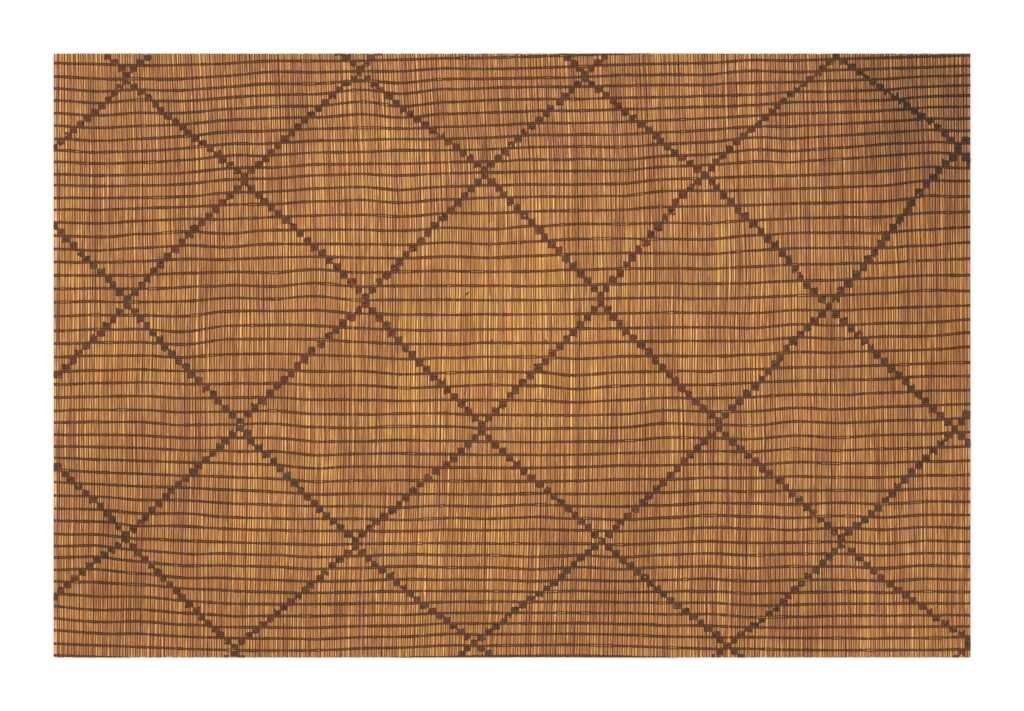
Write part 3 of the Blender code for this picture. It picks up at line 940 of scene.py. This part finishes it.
def reed_material():
    """Dry grass stems: golden to pinkish tan, each of its own shade, with thin bright lines that are painted
    highlights, a painted highlight along the middle of stretches of them, dark cracks, fine fibres, painted
    shade with some grime in the grooves between them, pale scuffs and an uneven gloss. The mat is a little
    yellower towards its bottom edge. Where the stains and the painted shade and light of soft folds make it
    darker it is browner, and where they make it brighter, more golden."""
    made, tree, shader = new_material("dry_reed")
    tone = attribute(tree, "tone")
    tint = attribute(tree, "tint")
    crown = attribute(tree, "crown")
    own = attribute(tree, "own")
    across = attribute(tree, "across")
    drift = use_group(tree, GRAIN, {"Across": 0.0, "Along": 18.0, "Detail": 3.0, "Layer": own})
    other_layer = maths(tree, "ADD", own, 300.0)
    gloss = use_group(tree, GRAIN, {"Across": 0.0, "Along": 14.0, "Detail": 2.0, "Layer": other_layer})
    streak = use_group(tree, GRAIN, {"Across": 900.0, "Along": 18.0, "Detail": 3.0})
    fibre = use_group(tree, GRAIN, {"Across": 4200.0, "Along": 60.0, "Detail": 2.0, "Layer": 7.0})
    line = use_group(tree, GRAIN, {"Across": 1150.0, "Along": 22.0, "Detail": 2.0, "Layer": 19.0})
    groove_grain = use_group(tree, GRAIN, {"Across": 420.0, "Along": 22.0, "Detail": 2.0, "Layer": 43.0})
    value = summed(tree, 0.455, (tone, 0.10), (drift, 0.10), (streak, 0.09), (fibre, 0.04))
    straw = screen_ramp(tree, value, REED_COLOURS)
    kind = mixed(tree, "MIX", between(tree, tint, -1.6, 1.6), YELLOW_REED, PINKISH_REED)
    straw = mixed(tree, "MULTIPLY", 1.0, straw, kind)
    coords = put(tree, "ShaderNodeTexCoord").outputs["Object"]
    upwards = put(tree, "ShaderNodeSeparateXYZ", {0: coords}).outputs[1]
    upper = between(tree, upwards, -0.03, MAT_LENGTH / 2)
    shifted_tint = mixed(tree, "MIX", upper, BOTTOM_OF_MAT, TOP_OF_MAT)
    straw = mixed(tree, "MULTIPLY", 1.0, straw, shifted_tint)
    # Thin bright lines along the reeds: painted highlights.
    bright = between(tree, line, 0.45, 0.9, 0.0, 0.6)
    straw = mixed(tree, "MIX", bright, straw, from_screen(*STRAW_LINE_HIGHLIGHT_COLOUR))
    # A painted highlight along the middle of a reed, over the stretches where its gloss is strong.
    ridge = maths(tree, "ABSOLUTE", maths(tree, "MULTIPLY_ADD", drift, 0.25, across))
    ridge = between(tree, ridge, 0.0, 0.45, 1.0, 0.0)
    ridge = maths(tree, "MULTIPLY", ridge, between(tree, gloss, 0.05, 0.75, 0.0, 0.62))
    straw = mixed(tree, "MIX", ridge, straw, from_screen(*RIDGE_HIGHLIGHT_COLOUR))
    crack = between(tree, line, -1.0, -0.7, 0.6, 1.0)
    straw = darkened(tree, straw, crack)
    # Painted shade in the grooves between the reeds and on their lower sides, with some grime.
    hollow_shade_and_marks = {"Crown": crown, "Hollow": -0.3, "Clear": 0.8, "Grain": groove_grain, "Broken": 0.25}
    clear = use_group(tree, HOLLOWS, hollow_shade_and_marks)
    groove_shade_grime_tint = ramp(tree, clear, ((0.0, GROOVE_SHADE_AND_GRIME), (1.0, UNCHANGED)))
    straw = mixed(tree, "MULTIPLY", 1.0, straw, groove_shade_grime_tint)
    patch = use_group(tree, GRAIN, {"Across": 70.0, "Along": 60.0, "Detail": 4.0, "Layer": 31.0})
    scuff = maths(tree, "MULTIPLY", between(tree, patch, 0.5, 0.95), between(tree, streak, -0.2, 0.6))
    scuff = maths(tree, "MULTIPLY", scuff, 0.4)
    straw = mixed(tree, "MIX", scuff, straw, from_screen(*SCUFF_COLOUR))
    # Stains, and painted shade and light of soft folds: browner where darker, more golden where brighter.
    shade = use_group(tree, STAINS_AND_SHADE, {"Amount": 1.0})
    straw = darkened(tree, straw, shade)
    undarkened = between(tree, shade, 0.7, 1.0)
    browned = mixed(tree, "MIX", undarkened, DARKER_PLACE, UNCHANGED)
    golden = between(tree, shade, 1.0, 1.18)
    browned = mixed(tree, "MIX", golden, browned, BRIGHT_PLACE)
    straw = mixed(tree, "MULTIPLY", 1.0, straw, browned)
    tree.links.new(straw, shader.inputs["Base Color"])
    tree.links.new(summed(tree, 0.46, (streak, -0.1), (fibre, 0.06)), shader.inputs["Roughness"])
    bump = put(tree, "ShaderNodeBump", {"Height": fibre, "Strength": 0.35, "Distance": 0.00006})
    tree.links.new(bump.outputs[0], shader.inputs["Normal"])
    return made


def leather_material():
    """Old goat leather in narrow strips: dark reddish brown, some of it greyer or greener, a little paler on
    its crowns, with painted shade on its sides and belly and in its dips between the reeds, and a fine
    pitted grain. Stains, and the painted shade and light of soft folds, make it greyer where darker and
    redder where brighter."""
    made, tree, shader = new_material("thong_leather")
    tone = attribute(tree, "tone")
    tint = attribute(tree, "tint")
    crown = attribute(tree, "crown")
    pits = use_group(tree, GRAIN, {"Across": 1200.0, "Along": 1200.0, "Detail": 3.0})
    # Stains, and painted shade and light of soft folds: greyer where darker, redder where brighter.
    shade = use_group(tree, STAINS_AND_SHADE, {"Amount": 0.95})
    shifted_tint = maths(tree, "MULTIPLY_ADD", maths(tree, "SUBTRACT", shade, 1.0), 1.2, tint)
    dye = screen_ramp(tree, between(tree, shifted_tint, -1.8, 1.8), LEATHER_COLOURS)
    level = summed(tree, 0.955, (tone, 0.15), (pits, 0.12))
    # Paler on the strips' crowns; painted shade on their sides, their bellies and their dips between reeds.
    hollow_shade_and_marks = {"Crown": crown, "Hollow": -0.4, "Clear": 0.9, "Grain": pits, "Broken": 0.12}
    clear = use_group(tree, HOLLOWS, hollow_shade_and_marks)
    level = maths(tree, "MULTIPLY", level, between(tree, clear, 0.0, 1.0, 0.74, 1.04))
    level = maths(tree, "MULTIPLY", level, shade)
    tree.links.new(darkened(tree, dye, level), shader.inputs["Base Color"])
    tree.links.new(between(tree, pits, -1.0, 1.0, 0.7, 0.9), shader.inputs["Roughness"])
    shader.inputs["Specular IOR Level"].default_value = 0.25
    bump = put(tree, "ShaderNodeBump", {"Height": pits, "Strength": 0.5, "Distance": 0.00008})
    tree.links.new(bump.outputs[0], shader.inputs["Normal"])
    return made


def floor_material():
    """A smooth pale floor with the least unevenness of tone."""
    made, tree, shader = new_material("pale_floor")
    coords = put(tree, "ShaderNodeTexCoord").outputs["Object"]
    noise = put(tree, "ShaderNodeTexNoise", {"Vector": coords, "Scale": 3.0, "Detail": 2.0}).outputs["Fac"]
    pale = ramp(tree, noise, ((0.3, (0.86, 0.86, 0.86, 1.0)), (0.7, (0.9, 0.9, 0.9, 1.0))))
    tree.links.new(pale, shader.inputs["Base Color"])
    shader.inputs["Roughness"].default_value = 0.9
    return made


# The mat's pieces

reed_finish = reed_material()
leather_finish = leather_material()
reeds = piece("reeds", [reed_rings()], reed_finish)
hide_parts("reed_panel")

leather = [
    front_stitches(-1),
    front_stitches(1),
    back_stitches(),
    block_stitches(),
    turns(False),
    turns(True),
    scraps(),
]
ROWS_IN_PIECE = 8
for low in range(0, ROW_COUNT, ROWS_IN_PIECE):
    high = low + ROWS_IN_PIECE
    batches = [batch.of_rows(low, high) for batch in leather]
    made = piece(f"thongs_{low:02d}", [b for b in batches if len(b.rings)], leather_finish)
    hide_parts(*(f"thong_{row:02d}" for row in range(low, min(high, THONG_COUNT))))

# The studio: a wide floor just below the mat, two soft lights, and the camera straight above

far, under = 5.0, -0.0002
floor_corners = [(-far, -far, under), (far, -far, under), (far, far, under), (-far, far, under)]
floor_mesh = bpy.data.meshes.new("floor")
floor_mesh.from_pydata(floor_corners, [], [(0, 1, 2, 3)])
floor_mesh.materials.append(floor_material())
floor = bpy.data.objects.new("floor", floor_mesh)
bpy.context.scene.collection.objects.link(floor)


def soft_light(name, at, size, power):
    """A square area light that faces the middle of the mat."""
    data = bpy.data.lights.new(name, "AREA")
    data.shape = "SQUARE"
    data.size = size
    data.energy = power
    lamp = bpy.data.objects.new(name, data)
    lamp.location = at
    lamp.rotation_euler = (-lamp.location).to_track_quat("-Z", "Y").to_euler()
    bpy.context.scene.collection.objects.link(lamp)


soft_light("overhead", at=(0.0, 0.05, 8.0), size=3.0, power=440.0)
soft_light("side", at=(-1.8, 0.9, 3.6), size=1.6, power=22.0)
world = bpy.data.worlds.new("studio")
bpy.context.scene.world = world
world.use_nodes = True
world.node_tree.nodes["Background"].inputs["Color"].default_value = (1.0, 1.0, 1.0, 1.0)
world.node_tree.nodes["Background"].inputs["Strength"].default_value = 0.55

FRAME_WIDTH = 1.024
CAMERA_HEIGHT = 6.0
lens = bpy.data.cameras.new("camera")
lens.sensor_width = 36.0
lens.lens = lens.sensor_width * CAMERA_HEIGHT / FRAME_WIDTH
lens.clip_end = 50.0
camera = bpy.data.objects.new("camera", lens)
camera.location = (0.0, 0.0, CAMERA_HEIGHT + REED_AXIS)
bpy.context.scene.collection.objects.link(camera)
bpy.context.scene.camera = camera
bpy.context.scene.view_settings.view_transform = "Standard"
